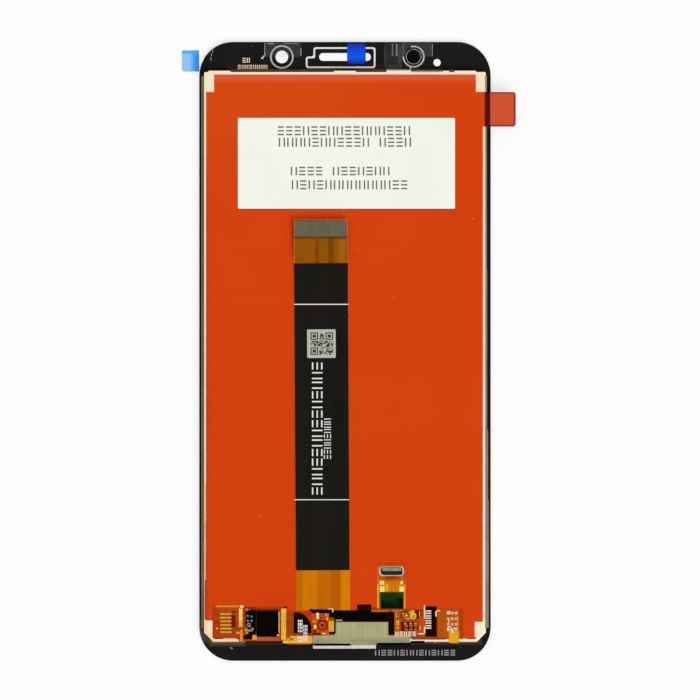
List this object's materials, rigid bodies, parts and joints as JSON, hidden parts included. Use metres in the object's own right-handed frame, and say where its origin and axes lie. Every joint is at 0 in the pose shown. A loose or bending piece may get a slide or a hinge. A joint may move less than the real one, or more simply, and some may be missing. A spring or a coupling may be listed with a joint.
{
  "type": "phone lcd screen assembly",
  "caption": "Flat phone display and touch module seen from its back: black bordered glass, white backlight frame under a red film, folded flex circuits with connectors.",
  "frame": {"origin": "centre of the cover glass outline, on the outer face of the front film", "axes": "+Z out of the back of the module, +Y towards the earpiece end, +X to the right as seen from the back"},
  "size_m": [0.0783, 0.1454, 0.0036],
  "materials": {
    "clear_film": "clear gloss film",
    "blue_tab": "gloss film",
    "cover_glass": "polished",
    "black_ink": "printed matt",
    "clear_adhesive": "clear soft adhesive",
    "sensor_film": "clear coated film",
    "polariser": "smooth film",
    "cell_glass": "polished",
    "silicon": "polished die",
    "black_tape": "matt tape",
    "prism_film": "ribbed clear film",
    "diffuser": "matt white film",
    "light_guide": "clear moulding",
    "reflector": "white film",
    "led_body": "moulded",
    "white_frame": "moulded satin",
    "red_film": "smooth tinted film",
    "label_paper": "coated label paper",
    "amber_flex": "polyimide film over copper",
    "orange_flex": "polyimide film over copper",
    "black_coverlay": "fine ribbed coverlay",
    "stiffener": "dull brushed plate",
    "shield_foil": "fine brushed conductive foil",
    "connector_plastic": "moulded",
    "gold_contact": "gold plated",
    "green_mask": "solder mask",
    "ceramic_tan": "fired ceramic",
    "tin": "tinned solder",
    "tantalum_yellow": "moulded",
    "chip_black": "moulded epoxy",
    "bar_yellow": "bare polyimide bar",
    "pale_print": "pale print",
    "blue_tape": "gloss tape",
    "filter_black": "dark clear ink"
  },
  "bodies": {
    "root": {"front_protective_film": "clear_film", "front_pull_tab": "blue_tab", "cover_glass": "cover_glass", "bezel_ink": "black_ink", "optical_adhesive": "clear_adhesive", "touch_sensor": "sensor_film", "sensor_adhesive": "clear_adhesive", "front_polariser": "polariser", "colour_filter_glass": "cell_glass", "tft_glass": "cell_glass", "driver_ic": "silicon", "rear_polariser": "polariser", "rim_tape": "black_tape", "upper_prism_film": "prism_film", "lower_prism_film": "prism_film", "diffuser_film": "diffuser", "light_guide": "light_guide", "backlight_leds": "led_body", "backlight_frame": "white_frame", "reflector_film": "reflector", "rear_protective_film": "red_film", "rear_label": "label_paper", "display_flex": "amber_flex", "tail_coverlay": "black_coverlay", "tail_stiffener": "stiffener", "main_connector_housing": "connector_plastic", "main_connector_contacts": "gold_contact", "tail_sticker": "label_paper", "branch_connector_housing": "connector_plastic", "branch_connector_contacts": "gold_contact", "branch_cover_patch": "green_mask", "branch_pads": "gold_contact", "flex_shield": "shield_foil", "black_coverlay": "black_coverlay", "chip_bodies": "ceramic_tan", "chip_terminals": "tin", "tantalum_capacitor": "tantalum_yellow", "power_coil": "gold_contact", "touch_flex": "orange_flex", "touch_controller_ic": "chip_black", "touch_black_patch": "black_tape", "touch_solder_balls": "tin", "touch_bars": "bar_yellow", "touch_fingers": "gold_contact", "half_disc_tape": "black_tape", "led_flex": "orange_flex", "led_pads": "gold_contact", "joint_tape": "black_tape", "bezel_spacers": "pale_print", "camera_ring": "pale_print", "camera_film": "clear_film", "earpiece_outline": "pale_print", "blue_release_tape": "blue_tape", "proximity_ring": "pale_print", "proximity_filter": "filter_black", "proximity_film": "clear_film", "silver_strips": "tin", "sensor_film": "clear_film"}
  },
  "joints": []
}
